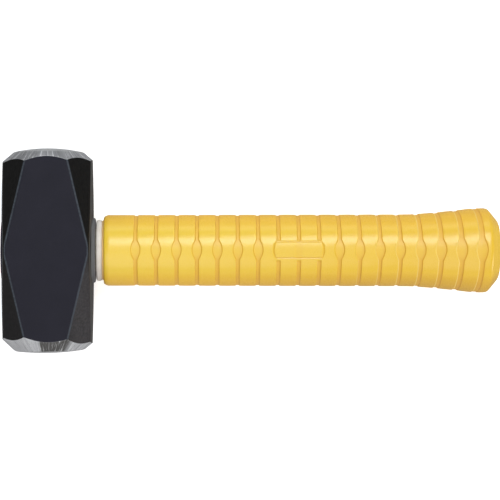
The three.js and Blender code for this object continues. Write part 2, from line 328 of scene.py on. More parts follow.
def section_radius(y, angle):
    """Distance from the striking axis to the forging's surface, at y and at an angle about the axis."""
    low, high = np.full(np.broadcast(y, angle).shape, 5.0), np.full(np.broadcast(y, angle).shape, 40.0)
    for _ in range(26):
        middle = (low + high) / 2
        inside = facet_distance(middle * np.cos(angle), y, middle * np.sin(angle)) < 0
        low, high = np.where(inside, middle, low), np.where(inside, high, middle)
    return (low + high) / 2


def ground_edge(angle, end, sign):
    """y of the scalloped edge where a ground chamfer meets the forging, and its x and z."""
    edge = np.full(angle.shape, GROUND_START)
    for _ in range(12):
        radius = section_radius(sign * edge, angle)
        x, z = radius * np.cos(angle), radius * np.sin(angle)
        edge = end["reach"] - end["crown"] - CHAMFER_SLOPE * (end_radius(x, z, end) - end["rim"])
    return edge, x, z


def end_rows(angle, end, sign):
    """Rings of one ground end from its pole to the scalloped edge, as (x, y, z) with y counted outwards."""
    edge, edge_x, edge_z = ground_edge(angle, end, sign)
    share = end["rim"] / end_radius(edge_x, edge_z, end)
    rim_x, rim_z = end["shift"] + (edge_x - end["shift"]) * share, edge_z * share
    sphere = dome_radius(end)
    shoulder = end["reach"] - end["crown"]
    rows = []
    for t in [0.03, 0.1, 0.2, 0.3, 0.4, 0.5, 0.6, 0.7, 0.8, 0.88, 0.94, 0.975, 0.99, 1.0]:
        y = np.full(angle.shape, end["reach"] - sphere + math.sqrt(sphere**2 - (t * end["rim"]) ** 2))
        rows.append((end["shift"] + (rim_x - end["shift"]) * t, y, rim_z * t))
    for t in [0.02, 0.06, 0.14, 0.28, 0.44, 0.6, 0.76, 0.88, 0.95, 0.985, 1.0]:
        y = shoulder + (edge - shoulder) * t
        rows.append((rim_x + (edge_x - rim_x) * t, y, rim_z + (edge_z - rim_z) * t))
    return rows, edge


def head_grid(columns=400, body_rows=120):
    """Rings of the whole head from one striking face to the other, and how many belong to each ground end."""
    angle = np.linspace(0, 2 * math.pi, columns, endpoint=False)
    upper, upper_edge = end_rows(angle, UPPER_END, 1)
    lower, lower_edge = end_rows(angle, LOWER_END, -1)
    length = upper_edge + lower_edge
    near = np.array([[0.12], [0.26], [0.45], [0.75], [1.2]]) / length
    inner = 1.9 / length
    shares = np.concatenate([near, np.linspace(inner, 1 - inner, body_rows), 1 - near[::-1]])
    rows = list(upper)
    for y in upper_edge - shares * length:
        radius = section_radius(y, angle)
        rows.append((radius * np.cos(angle), y, radius * np.sin(angle)))
    rows += [(x, -y, z) for x, y, z in reversed(lower)]
    grid = settle(np.stack([np.stack(row, -1) for row in rows]), head_distance)
    grid[..., 1] += LOWER_TILT * grid[..., 0] * smoothstep((-grid[..., 1] - GROUND_START) / 6)
    return grid, len(upper), len(lower)


def eye_radius(x):
    """Half width of the eye along y: an hourglass, so that the cast resin can't pull through either way."""
    share = np.minimum(1, np.abs(x) / SIDE_MIDDLE)
    return EYE_WAIST + (EYE_MOUTH - EYE_WAIST) * share**2


def make_head():
    """The forging, with a lip on each side of the eye and the eye cut through."""
    grid, upper_rows, lower_rows = head_grid()
    head = capped_grid("hammer_head", grid)
    rows, columns = grid.shape[:2]
    slots = np.zeros(len(head.data.polygons), int)
    slots[: (upper_rows - 1) * columns] = 1
    slots[(rows - lower_rows) * columns : (rows - 1) * columns] = 1
    slots[(rows - 1) * columns :] = 1
    for material in (painted_forging(), ground_steel()):
        head.data.materials.append(material)
    head.data.polygons.foreach_set("material_index", slots)
    for lip in (NEAR_LIP, FAR_LIP):
        boss = make_boss(**lip)
        boss.data.materials.append(head.data.materials[0])
        boolean(head, boss, "UNION")
    boolean(head, make_eye_cutter(head.data.materials[0]), "DIFFERENCE")
    head.data.polygons.foreach_set("use_smooth", [True] * len(head.data.polygons))
    head.data.set_sharp_from_angle(angle=math.radians(35))
    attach(head, "root")
    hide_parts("head")
    return head


def make_boss(side, face_x, rim, foot):
    """A lip round the eye with a rounded rim and a concave foot, on the +x side or on the -x side."""
    foot_x = min(SIDE_MIDDLE, face_x - 0.1) - 1.6
    profile = [[12.0, BOSS_RADIUS + foot], [foot_x, BOSS_RADIUS + foot]]
    profile += corner_arc(foot_x + foot, BOSS_RADIUS + foot, foot, 180, 270, 6)[1:]
    profile += corner_arc(face_x - rim, BOSS_RADIUS - rim, rim, 90, 0, 6)
    profile += [[face_x, 10.0]]
    return capped_grid("eye_lip", oval_grid(profile) * [side, 1, 1])


def make_eye_cutter(material):
    """The eye's own shape, flared a little at both mouths."""
    stations = np.linspace(-24.0, 24.0, 25)
    profile = [[-EYE_PAST, EYE_MOUTH + 1], [-SIDE_MIDDLE, EYE_MOUTH + 1]]
    profile += [[x, eye_radius(x)] for x in stations]
    profile += [[BOSS_FACE_X - 0.5, EYE_MOUTH], [BOSS_FACE_X, EYE_MOUTH + 0.5], [EYE_PAST, EYE_MOUTH + 0.5]]
    cutter = capped_grid("eye_cutter", oval_grid(profile))
    cutter.data.materials.append(material)
    return cutter


# ---- grip shape ----
def flare_share(x):
    return np.clip((x - FLARE_START_X) / (FLARE_END_X - FLARE_START_X), 0, 1)


def grip_radius(x):
    """Half width of the grip's plain outline: a slight taper, then the flare of the butt."""
    along = np.clip((x - GRIP_LOW[0]) / (FLARE_START_X - GRIP_LOW[0]), 0, 1)
    spread = FLARE_RADIUS - GRIP_RADIUS - SHANK_TAPER
    return GRIP_RADIUS + SHANK_TAPER * along + spread * flare_share(x) ** FLARE_POWER


def grip_flatness(x):
    return GRIP_FLATNESS + (FLARE_FLATNESS - GRIP_FLATNESS) * smoothstep(flare_share(x))


def grip_angles():
    """Column angles about the handle axis, close together over the pockets and at the mould line."""
    height = np.concatenate([np.arange(-6.3, 6.31, 0.38), np.arange(7.2, 17.6, 1.0)])
    height = np.concatenate([-np.arange(7.2, 17.6, 1.0)[::-1], height])
    face = np.arccos(height[::-1] / GRIP_RADIUS)
    gap = np.array([-0.28, -0.14, -0.06, -0.025, 0, 0.025, 0.06, 0.14, 0.28])
    return np.sort(np.concatenate([face, face + math.pi, gap % (2 * math.pi), gap + math.pi]))


def pocket_bulge(y):
    """Extra half width of a groove at a height on the grip, where it opens into its pocket."""
    t = np.clip(np.abs(y - PATTERN_LIFT) / POCKET_HALF, 0, 1)
    return POCKET_BULGE * (1 - t**2) ** 1.35


def wall_offset(k, side, y, upper):
    """Distance from a groove's centre line to the middle of its wall on one side."""
    bulge = pocket_bulge(y)
    if k in PANEL_GROOVES:
        outer = (k == PANEL_GROOVES[0] and side < 0) or (k == PANEL_GROOVES[-1] and side > 0)
        bulge = bulge * (~upper if not outer else 1)
    growth = GROOVE_GROWTH * k / (GROOVES - 1) + GROOVE_SPREAD * flare_share(groove_x(k)) ** 0.5
    return GROOVE_HALF + growth + bulge


def groove_x(k):
    return FIRST_GROOVE_X + k * GROOVE_PITCH


def lean(x, angle):
    """How far a point shifts along the handle, because the grooves lean between the sides and the top."""
    along = (x - FIRST_GROOVE_X) / (GROOVE_PITCH * (GROOVES - 1))
    ends = smoothstep((x - GRIP_LOW[0]) / 12) * smoothstep((BUTT_EDGE_X + 0.5 - x) / 5)
    return (LEAN_START + LEAN_RISE * np.clip(along, 0, 1) ** 3) * (np.abs(np.sin(angle)) - 1) * ends


def groove_rows(y, upper):
    """x of every ring over the grooved length, where rings follow the groove walls round each pocket."""
    across = np.array([-0.5, -0.32, -0.17, 0, 0.17, 0.32, 0.5])
    rows = []
    previous = None
    for k in range(GROOVES):
        centre = groove_x(k)
        left = centre - wall_offset(k, -1, y, upper)
        right = centre + wall_offset(k, 1, y, upper)
        if previous is not None:
            rows += [previous + (left - previous) * t for t in bandwise(0.07)]
        rows += [left + t for t in across]
        rows += [left + (right - left) * t for t in (0.36, 0.5, 0.64)]
        rows += [right + t for t in across]
        previous = right
    return rows


def bandwise(margin, count=9):
    """Even shares of a band's length, clear of both its ends."""
    return np.linspace(0, 1, count + 2)[1:-1] * (1 - 2 * margin) + margin


def groove_reach(x, y, upper):
    """How far a point is inside the nearest groove, and whether it is on that groove's butt side."""
    inside = np.full(x.shape, -1e3)
    butt_side = np.zeros(x.shape, bool)
    for k in range(GROOVES):
        centre = groove_x(k)
        edge = np.where(x < centre, wall_offset(k, -1, y, upper), wall_offset(k, 1, y, upper))
        depth_in = edge - np.abs(x - centre)
        butt_side = np.where(depth_in > inside, x > centre, butt_side)
        if k in PANEL_GROOVES:
            stop = np.where(y > 0, PANEL_HALF + 0.5, PANEL_HALF + 1.2)
            closed = np.where(upper, stop + 0.3 - np.abs(y - PATTERN_LIFT), -1e3)
            depth_in = np.minimum(depth_in, -closed)
        inside = np.maximum(inside, depth_in)
    return inside, butt_side


def panel_shares(x, y, upper):
    """Shares of the blank panel's border line, of its own surface and of the strip across it at a point."""
    first, last = groove_x(PANEL_GROOVES[0]), groove_x(PANEL_GROOVES[-1])
    end_left = first - wall_offset(PANEL_GROOVES[0], -1, y, upper)
    end_right = last + wall_offset(PANEL_GROOVES[-1], 1, y, upper)
    beside = np.maximum(end_left - x, x - end_right)
    above = np.abs(y - PATTERN_LIFT) - PANEL_HALF
    panel = np.where(upper, rounded_max([beside, above], 0.6), 1e3)
    border = np.exp(-((panel / BORDER_HALF) ** 2))
    on_panel = smoothstep(0.5 - panel / 0.5)
    middle = groove_x(PANEL_GROOVES[1])
    strip = smoothstep((STRIP_HALF - np.abs(x - middle)) / 0.5) * on_panel
    return border, on_panel, strip


def grip_depth(x, y, upper):
    """How far the surface lies under the grip's plain outline, and two masks of painted shade and highlight for
    its material.

    recess is 1 down in a groove, where the material paints the colour deeper as shade. The third output is 1 on
    a wall painted dark as shade, and below 0 on a wall painted pale as a highlight.
    """
    inside, butt_side = groove_reach(x, y, upper)
    border, on_panel, strip = panel_shares(x, y, upper)
    recess = smoothstep(inside / WALL + 0.5)
    away = np.clip(-inside / (GROOVE_PITCH / 2 - GROOVE_HALF), 0, 1)
    crown = BAND_CROWN * (1 - away) ** 2
    plain = smoothstep((FIRST_GROOVE_X - 3.2 - x) / 4)
    shallow = SIDE_DEPTH + (1 - SIDE_DEPTH) * smoothstep((0.97 - np.abs(y) / GRIP_RADIUS) / 0.3)
    depth = GROOVE_DEPTH * shallow * recess + crown * (1 - plain)
    depth = depth * (1 - on_panel) + 0.02 * on_panel
    depth = np.maximum(depth, BORDER_DEPTH * border) + STRIP_DEPTH * strip
    # how much painted shade a groove gets: less where it opens into a pocket, and some on the panel's sunk
    # strip
    open_pocket = pocket_bulge(y) / POCKET_BULGE
    recess = np.clip(recess * (1 - on_panel) * (1 - 0.75 * open_pocket) + 0.3 * strip, 0, 1)
    # painted shade and highlight on the groove walls: the butt-side wall is painted dark; the head-side wall is
    # dark near the head and pale towards the butt
    towards_butt = smoothstep((x - groove_x(5)) / (groove_x(14) - groove_x(5)))
    head_wall = (0.7 - 1.2 * towards_butt) * np.exp(-((inside / 0.24) ** 2))
    butt_wall = (0.75 + 0.25 * towards_butt) * np.exp(-(((inside - 0.1) / 0.34) ** 2))
    wall_shade_and_highlight = np.where(butt_side, butt_wall, head_wall) * (1 - on_panel)
    # the panel's fine border line gets the same painted shade
    return depth, recess, np.where(border > 0.05, 0.8 * border, wall_shade_and_highlight)


def make_grip():
    """The moulded grip, grooved all round, with two masks on its points for the material's painted shade and
    highlight.
    """
    angle = grip_angles()
    y_nominal = GRIP_RADIUS * np.cos(angle)
    upper = np.sin(angle) > 0
    grooved = groove_rows(y_nominal, upper)
    columns = len(angle)
    start = GRIP_LOW[0]
    plain_stop = grooved[0].min() - 0.6
    rows = [np.full(columns, x) for x in np.linspace(start + FRONT_ROUND + 0.6, plain_stop, 12)]
    rows += grooved
    rows += [grooved[-1] + (BUTT_EDGE_X - 1.1 - grooved[-1]) * t for t in (0.35, 0.7, 1.0)]
    x = np.stack(rows)
    radius = grip_radius(x)
    height, on_top = np.broadcast_to(y_nominal, x.shape), np.broadcast_to(upper, x.shape)
    depth, recess, wall_shade_and_highlight = grip_depth(x, height, on_top)
    mould_line = 0.1 * np.exp(-((np.broadcast_to(np.sin(angle), x.shape) * GRIP_RADIUS / 0.35) ** 2))
    radius = radius - depth + mould_line * (1 - recess)
    leaning = x + lean(x, angle)
    outside = np.stack([leaning, radius * np.cos(angle), radius * np.sin(angle) * grip_flatness(x)], -1)
    profile = np.array(front_profile())
    in_bore = profile[:, 1:] < JACKET_HIGH[1] + 1
    front = turned_rows(profile, angle, np.where(in_bore, NECK_FLATNESS, GRIP_FLATNESS))
    butt = turned_rows(butt_profile(), angle, FLARE_FLATNESS)
    grid = np.concatenate([front, outside, butt])
    grip = capped_grid("moulded_grip", grid)
    for name, values in (("recess", recess), ("wall_shade_and_highlight", wall_shade_and_highlight)):
        shade = np.zeros(len(grip.data.vertices), np.float32)
        shade[len(front) * columns : (len(front) + len(x)) * columns] = values.reshape(-1)
        attribute = grip.data.attributes.new(name, "FLOAT", "POINT")
        attribute.data.foreach_set("value", shade)
    grip.data.set_sharp_from_angle(angle=math.radians(60))
    return finish_piece(grip, "grip", grip_plastic())


def front_profile():
    """From the blind end of the bore, out to the mouth and round the front edge."""
    bore = JACKET_HIGH[1] + FIT_GAP
    start = GRIP_LOW[0]
    edge = GRIP_RADIUS - 0.3
    profile = [[JACKET_HIGH[0] + 3.6, 0.5], [JACKET_HIGH[0] + 3.6, bore - 0.3], [JACKET_HIGH[0] + 3.3, bore]]
    profile += [[x, bore] for x in np.linspace(JACKET_HIGH[0] - 20, start + 0.3, 6)]
    profile += [[start, bore + 0.3], [start, edge - FRONT_ROUND - 0.3]]
    profile += corner_arc(start + FRONT_ROUND, edge - FRONT_ROUND, FRONT_ROUND, 180, 97, 8)
    return profile


def butt_profile():
    """Round the widest edge, down the chamfer and over the domed end."""
    profile = [[BUTT_EDGE_X - 0.9, FLARE_RADIUS], [BUTT_EDGE_X - 0.2, FLARE_RADIUS - 0.1]]
    profile += [[BUTT_EDGE_X + 0.5, FLARE_RADIUS - 0.45], [BUTT_EDGE_X + 1.1, FLARE_RADIUS - 1.0]]
    start_x, start_radius = BUTT_EDGE_X + 1.5, FLARE_RADIUS - 1.45
    for share in (0.0, 0.25, 0.5, 0.75, 0.9):
        radius = start_radius + (BUTT_DOME_RADIUS - start_radius) * share
        profile.append([start_x + (BUTT_DOME_X - start_x) * share, radius])
    rise = GRIP_HIGH[0] - BUTT_DOME_X
    for share in (0.985, 0.95, 0.9, 0.8, 0.7, 0.6, 0.5, 0.4, 0.3, 0.2, 0.1, 0.04):
        profile.append([BUTT_DOME_X + rise * (1 - share**2), BUTT_DOME_RADIUS * share])
    return profile


# ---- small pieces ----
def finish_piece(obj, node, material):
    """Gives a piece its material and its body, and hides the CAD node that it stands for."""
    obj.data.materials.append(material)
    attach(obj, "root")
    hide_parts(node)
    return obj


def make_seal_ring():
    """A soft ring with a full, slightly barrelled outside."""
    start, end = RING_LOW[0], RING_HIGH[0]
    outer = RING_HIGH[1]
    bore = ROD_HIGH[1] + FIT_GAP
    round_x = 1.15
    profile = [[start, bore], [start, outer - 1.6]]
    profile += corner_arc(start + round_x, outer - 0.1 - round_x, round_x, 180, 98, 7)
    profile += [[(start + end) / 2, outer]]
    profile += corner_arc(end - round_x, outer - 0.1 - round_x, round_x, 82, 0, 7)
    profile += [[end, outer - 1.6], [end, bore]]
    ring = looped_grid("seal_ring_soft", oval_grid(profile, 160), 50)
    return finish_piece(ring, "seal_ring", soft_white())


def make_jacket():
    """A plain tube, with a small collar between the ring and the grip."""
    start, end = RING_HIGH[0] + COLLAR_GAP, JACKET_HIGH[0]
    outer, bore = JACKET_HIGH[1], ROD_HIGH[1] + FIT_GAP
    collar, collar_end = outer + COLLAR, GRIP_LOW[0] - COLLAR_GAP
    bevel = 0.15
    profile = [[start, bore], [start, collar - bevel], [start + bevel, collar], [collar_end - bevel, collar]]
    profile += [[collar_end, collar - bevel], [collar_end, outer], [end, outer], [end, bore]]
    jacket = looped_grid("jacket_tube", oval_grid(profile), 40)
    return finish_piece(jacket, "handle_jacket", jacket_plastic())


def make_rod():
    """The solid core, with its sawn end in the far mouth of the eye."""
    start, end = ROD_LOW[0], ROD_HIGH[0]
    outer = ROD_HIGH[1]
    bevel = 0.4
    profile = [[start, 0.4], [start, outer * 0.5], [start, outer - bevel], [start + bevel, outer]]
    profile += [[0.0, outer], [end, outer], [end, 0.4]]
    rod = capped_grid("core_rod", oval_grid(profile), 40)
    return finish_piece(rod, "fibreglass_rod", fibreglass())


def make_resin():
    """Cast resin: level in the far mouth of the eye, with a small meniscus up the steel and the rod."""
    start, end = RESIN_LOW[0], RESIN_HIGH[0]
    bore = ROD_HIGH[1] + FIT_GAP
    mouth = eye_radius(start) - FIT_GAP
    profile = [[end, bore]]
    profile += [[start + 0.1, bore], [start - 0.05, bore + 0.25], [start + 0.25, bore + 0.8]]
    profile += [[start + 0.32, (bore + mouth) / 2], [start + 0.25, mouth - 0.8], [start - 0.05, mouth - 0.15]]
    profile += [[start + 0.15, mouth]]
    profile += [[x, eye_radius(x) - FIT_GAP] for x in np.linspace(start + 1.5, end, 16)]
    resin = looped_grid("cast_resin", oval_grid(profile))
    cut_sleeve_space(resin, end + 2)
    merge_slivers(resin)
    tidy_mesh(resin, 50)
    return finish_piece(resin, "resin_bond", resin_material())


def cut_sleeve_space(resin, past):
    """Room for the ribbed sleeve, which keeps its CAD shape: a tube out to past, and the ribs."""
    around_sleeve = SLEEVE_RADIUS + FIT_GAP
    start = SLEEVE_LOW[0] - FIT_GAP
    profile = [[start, 1], [start, around_sleeve], [past, around_sleeve], [past, 1]]
    boolean(resin, capped_grid("sleeve_space", oval_grid(profile, 100)), "DIFFERENCE")
    reach = SLEEVE_HIGH[1] + FIT_GAP
    half_width = RIB_WIDTH / 2 + FIT_GAP
    for half_y, half_z in ((reach, half_width), (half_width, reach * NECK_FLATNESS)):
        low = (RIB_START_X - FIT_GAP, -half_y, -half_z)
        high = (RIB_END_X + FIT_GAP, half_y, half_z)
        boolean(resin, block("rib_space", low, high), "DIFFERENCE")


# ---- materials ----
class Graph:
    """A small wrapper round a material's node tree."""

    def __init__(self, name):
        self.material = bpy.data.materials.new(name)
        self.material.use_nodes = True
        self.tree = self.material.node_tree
        self.shader = self.tree.nodes["Principled BSDF"]

    def node(self, kind, **settings):
        made = self.tree.nodes.new(kind)
        for key, value in settings.items():
            setattr(made, key, value)
        return made

    def link(self, source, target):
        self.tree.links.new(source, target)

    def split(self, vector):
        """The separate x, y and z outputs of a vector."""
        made = self.node("ShaderNodeSeparateXYZ")
        self.link(vector, made.inputs[0])
        return made.outputs["X"], made.outputs["Y"], made.outputs["Z"]

    def vector_maths(self, operation, vector, values=None):
        """A vector taken through one operation, with three numbers or another vector."""
        made = self.node("ShaderNodeVectorMath", operation=operation)
        self.link(vector, made.inputs[0])
        if isinstance(values, tuple):
            made.inputs[1].default_value = values
        elif values is not None:
            self.link(values, made.inputs[1])
        return made.outputs["Value" if operation == "LENGTH" else "Vector"]

    def put(self, **values):
        """Constant values on the shader's own sockets, by name with underscores for spaces."""
        for key, value in values.items():
            self.shader.inputs[key.replace("_", " ")].default_value = value

    def coordinates(self, scale=(1, 1, 1)):
        """Position in millimetres from the frame's own origin, times a scale."""
        source = self.node("ShaderNodeTexCoord")
        mapping = self.node("ShaderNodeMapping")
        mapping.inputs["Scale"].default_value = [METRE * s for s in scale]
        self.link(source.outputs["Object"], mapping.inputs["Vector"])
        return mapping.outputs["Vector"]

    def attribute(self, name):
        """A shade stored on the mesh's points."""
        return self.node("ShaderNodeAttribute", attribute_type="GEOMETRY", attribute_name=name).outputs["Fac"]

    def noise(self, vector, scale, detail, roughness):
        made = self.node("ShaderNodeTexNoise")
        made.inputs["Scale"].default_value = scale
        made.inputs["Detail"].default_value = detail
        made.inputs["Roughness"].default_value = roughness
        self.link(vector, made.inputs["Vector"])
        return made.outputs["Fac"]

    def spread(self, value, low, high, to_low=0.0, to_high=1.0):
        """A value mapped from one range to another, and held inside it."""
        made = self.node("ShaderNodeMapRange", clamp=True)
        self.link(value, made.inputs["Value"])
        for key, number in (("From Min", low), ("From Max", high), ("To Min", to_low), ("To Max", to_high)):
            made.inputs[key].default_value = number
        return made.outputs["Result"]

    def blend(self, factor, first, second):
        """Two colours mixed by a factor. Either colour is an output or three numbers."""
        made = self.node("ShaderNodeMix", data_type="RGBA")
        self.link(factor, made.inputs[0])
        for socket, colour in ((made.inputs[6], first), (made.inputs[7], second)):
            if isinstance(colour, tuple):
                socket.default_value = (*colour, 1)
            else:
                self.link(colour, socket)
        return made.outputs[2]

    def maths(self, operation, first, second=None):
        """One operation on outputs or numbers."""
        made = self.node("ShaderNodeMath", operation=operation)
        for socket, value in zip(made.inputs, (first, second)):
            if isinstance(value, (int, float)):
                socket.default_value = value
            elif value is not None:
                self.link(value, socket)
        return made.outputs[0]

    def bump(self, height, strength, distance_mm, before=None):
        """A normal from a height, on top of an earlier bump if there is one."""
        made = self.node("ShaderNodeBump")
        made.inputs["Strength"].default_value = strength
        made.inputs["Distance"].default_value = distance_mm * MILLIMETRE
        self.link(height, made.inputs["Height"])
        if before is not None:
            self.link(before, made.inputs["Normal"])
        return made.outputs["Normal"]

    def to_shader(self, **outputs):
        """Outputs linked to the shader's sockets by name. Returns the finished material."""
        for key, output in outputs.items():
            self.link(output, self.shader.inputs[key.replace("_", " ")])
        return self.material


def painted_forging():
    """Satin black paint on flat cheeks and streaked dark scale on the forged corners, with painted light: paler
    streaked sides, a paler corner patch towards the lower end on the handle side, a grey sheen on the lip round
    the eye, and bluish highlights along the facet edges, where the paint is also worn.
    """
    g = Graph("painted_forging")
    normal_z = g.split(g.node("ShaderNodeNewGeometry").outputs["Normal"])[2]
    upright = g.maths("ABSOLUTE", normal_z)
    cheek = g.spread(upright, 0.955, 0.995)
    edge_out = g.spread(upright, 0.76, 0.84)
    edge_in = g.spread(upright, 0.955, 0.992, 1.0, 0.0)
    edge = g.maths("MULTIPLY", edge_out, edge_in)
    place = g.coordinates()
    cloud = g.noise(place, 0.07, 3.0, 0.55)
    mottle = g.noise(place, 0.9, 4.0, 0.6)
    streak_place = g.coordinates((1.0, 0.06, 1.0))
    streak = g.noise(streak_place, 2.2, 5.0, 0.65)
    fine_streak = g.noise(g.coordinates((1.0, 0.12, 1.0)), 5.5, 3.0, 0.6)
    cheek_colour = g.blend(g.spread(cloud, 0.3, 0.7), (0.0105, 0.0100, 0.0170), (0.0130, 0.0122, 0.0205))
    cheek_colour = g.blend(g.spread(mottle, 0.35, 0.75, 0.0, 0.35), cheek_colour, (0.016, 0.015, 0.024))
    scale_colour = g.blend(g.spread(streak, 0.35, 0.68), (0.0025, 0.0024, 0.0024), (0.0085, 0.0080, 0.0078))
    x, y = g.split(place)[:2]
    # painted light: the corner facets towards the lower end, on the handle side, are painted paler and mottled,
    # for the light they catch there
    painted_light_corner = g.maths("MULTIPLY", g.spread(y, 3.0, -12.0), g.spread(x, 4, 16, 0.25, 1.0))
    painted_light_corner = g.maths("MULTIPLY", painted_light_corner, g.spread(mottle, 0.25, 0.65, 0.45, 1.0))
    scale_colour = g.blend(painted_light_corner, scale_colour, (0.047, 0.043, 0.046))
    scale_colour = g.blend(g.spread(fine_streak, 0.55, 0.72, 0.0, 0.6), scale_colour, (0.017, 0.016, 0.015))
    # painted light: the steep sides are painted a lighter streaked grey, for the light their faces catch
    side = g.maths("MULTIPLY", g.spread(upright, 0.40, 0.22), g.spread(streak, 0.3, 0.7, 0.75, 1.0))
    scale_colour = g.blend(side, scale_colour, (0.068, 0.066, 0.064))
    colour = g.blend(cheek, scale_colour, cheek_colour)
    from_axis = g.vector_maths("SUBTRACT", place, (0, 0, AXIS_Z))
    from_eye = g.vector_maths("LENGTH", g.vector_maths("MULTIPLY", from_axis, (0, 1, 1 / NECK_FLATNESS)))
    # painted sheen: the lip round the eye on the handle side is painted mid grey, for the sheen on its rounded
    # rim
    lip = g.spread(x, SIDE_MIDDLE - 1.8, SIDE_MIDDLE - 1.4)
    lip = g.maths("MULTIPLY", lip, g.spread(from_eye, BOSS_RADIUS + 1.0, BOSS_RADIUS + 0.4))
    colour = g.blend(lip, colour, (0.125, 0.122, 0.124))
    # painted highlight, bluish, along the rounded facet edges, where the paint is also worn lighter; kept off
    # the lip
    edge_wear_and_highlight = g.maths("MULTIPLY", edge, g.spread(mottle, 0.3, 0.6, 0.55, 1.0))
    edge_wear_and_highlight = g.maths("MULTIPLY", edge_wear_and_highlight, g.spread(lip, 0.0, 1.0, 1.0, 0.0))
    colour = g.blend(edge_wear_and_highlight, colour, (0.052, 0.060, 0.074))
    rough_scale = g.spread(streak, 0.3, 0.7, 0.62, 0.44)
    rough_cheek = g.spread(mottle, 0.3, 0.7, 0.40, 0.50)
    rough = g.node("ShaderNodeMix", data_type="FLOAT")
    g.link(cheek, rough.inputs[0])
    g.link(rough_scale, rough.inputs[2])
    g.link(rough_cheek, rough.inputs[3])
    relief = g.blend(cheek, streak, g.noise(place, 1.6, 2.0, 0.5))
    bumped = g.bump(relief, 0.30, 0.10)
    bumped = g.bump(fine_streak, 0.12, 0.05, bumped)
    g.put(Metallic=0.0, IOR=1.5, Specular_IOR_Level=0.12)
    return g.to_shader(Base_Color=colour, Roughness=rough.outputs[0], Normal=bumped)


def ground_steel():
    """Bare steel ground along the chamfers, with painted reflection: light and dark stripes that run up the
    cone, a dark sector on the lower end and a duller upper end.
    """
    g = Graph("ground_steel")
    place = g.coordinates()
    y = g.split(place)[1]
    from_axis = g.vector_maths("SUBTRACT", place, (0, 0, AXIS_Z))
    direction = g.vector_maths("NORMALIZE", g.vector_maths("MULTIPLY", from_axis, (1, 0, 1)))
    towards_butt = g.split(direction)[0]
    which_end = g.node("ShaderNodeCombineXYZ")
    g.link(g.maths("MULTIPLY", y, 0.004), which_end.inputs[1])
    ray = g.vector_maths("ADD", direction, which_end.outputs[0])
    # painted reflection: light and dark tones round each cone, and one end duller than the other, for the
    # surroundings the ground steel reflects
    reflection_bands = g.noise(ray, 4.0, 3.0, 0.6)
    lines = g.noise(ray, 26.0, 3.0, 0.65)
    grain = g.noise(ray, 120.0, 2.0, 0.6)
    dull = g.blend(g.spread(reflection_bands, 0.40, 0.62), (0.33, 0.33, 0.345), (0.50, 0.50, 0.52))
    bright = g.blend(g.spread(reflection_bands, 0.40, 0.62), (0.66, 0.66, 0.68), (0.88, 0.88, 0.90))
    colour = g.blend(g.spread(y, -1.0, 1.0), bright, dull)
    # painted reflection: a dark sector on the lower chamfer, for the dark surroundings it reflects
    dark_reflection_sector = g.maths("MULTIPLY", g.spread(towards_butt, -0.20, -0.16), g.spread(towards_butt, 0.62, 0.5))
    dark_reflection_sector = g.maths("MULTIPLY", dark_reflection_sector, g.spread(y, 0.0, -1.0))
    colour = g.blend(dark_reflection_sector, colour, (0.15, 0.145, 0.14))
    colour = g.blend(g.spread(lines, 0.54, 0.66, 0.0, 0.85), colour, (0.97, 0.97, 0.98))
    colour = g.blend(g.spread(lines, 0.44, 0.32, 0.0, 0.55), colour, (0.22, 0.215, 0.21))
    normal_y = g.split(g.node("ShaderNodeNewGeometry").outputs["Normal"])[1]
    face = g.spread(g.maths("ABSOLUTE", normal_y), 0.83, 0.93)
    scratch = g.noise(g.coordinates((1.0, 1.0, 0.08)), 1.6, 4.0, 0.65)
    worn = g.noise(place, 0.16, 3.0, 0.6)
    face_colour = g.blend(g.spread(worn, 0.35, 0.65), (0.56, 0.56, 0.57), (0.74, 0.74, 0.75))
    face_colour = g.blend(g.spread(scratch, 0.52, 0.68, 0.0, 0.5), face_colour, (0.90, 0.90, 0.91))
    face_colour = g.blend(g.spread(scratch, 0.44, 0.32, 0.0, 0.4), face_colour, (0.34, 0.34, 0.34))
    colour = g.blend(face, colour, face_colour)
    grain = g.blend(face, grain, scratch)
    rough = g.spread(grain, 0.3, 0.7, 0.26, 0.42)
    bumped = g.bump(grain, 0.10, 0.05)
    g.put(Metallic=0.7)
    return g.to_shader(Base_Color=colour, Roughness=rough, Normal=bumped)


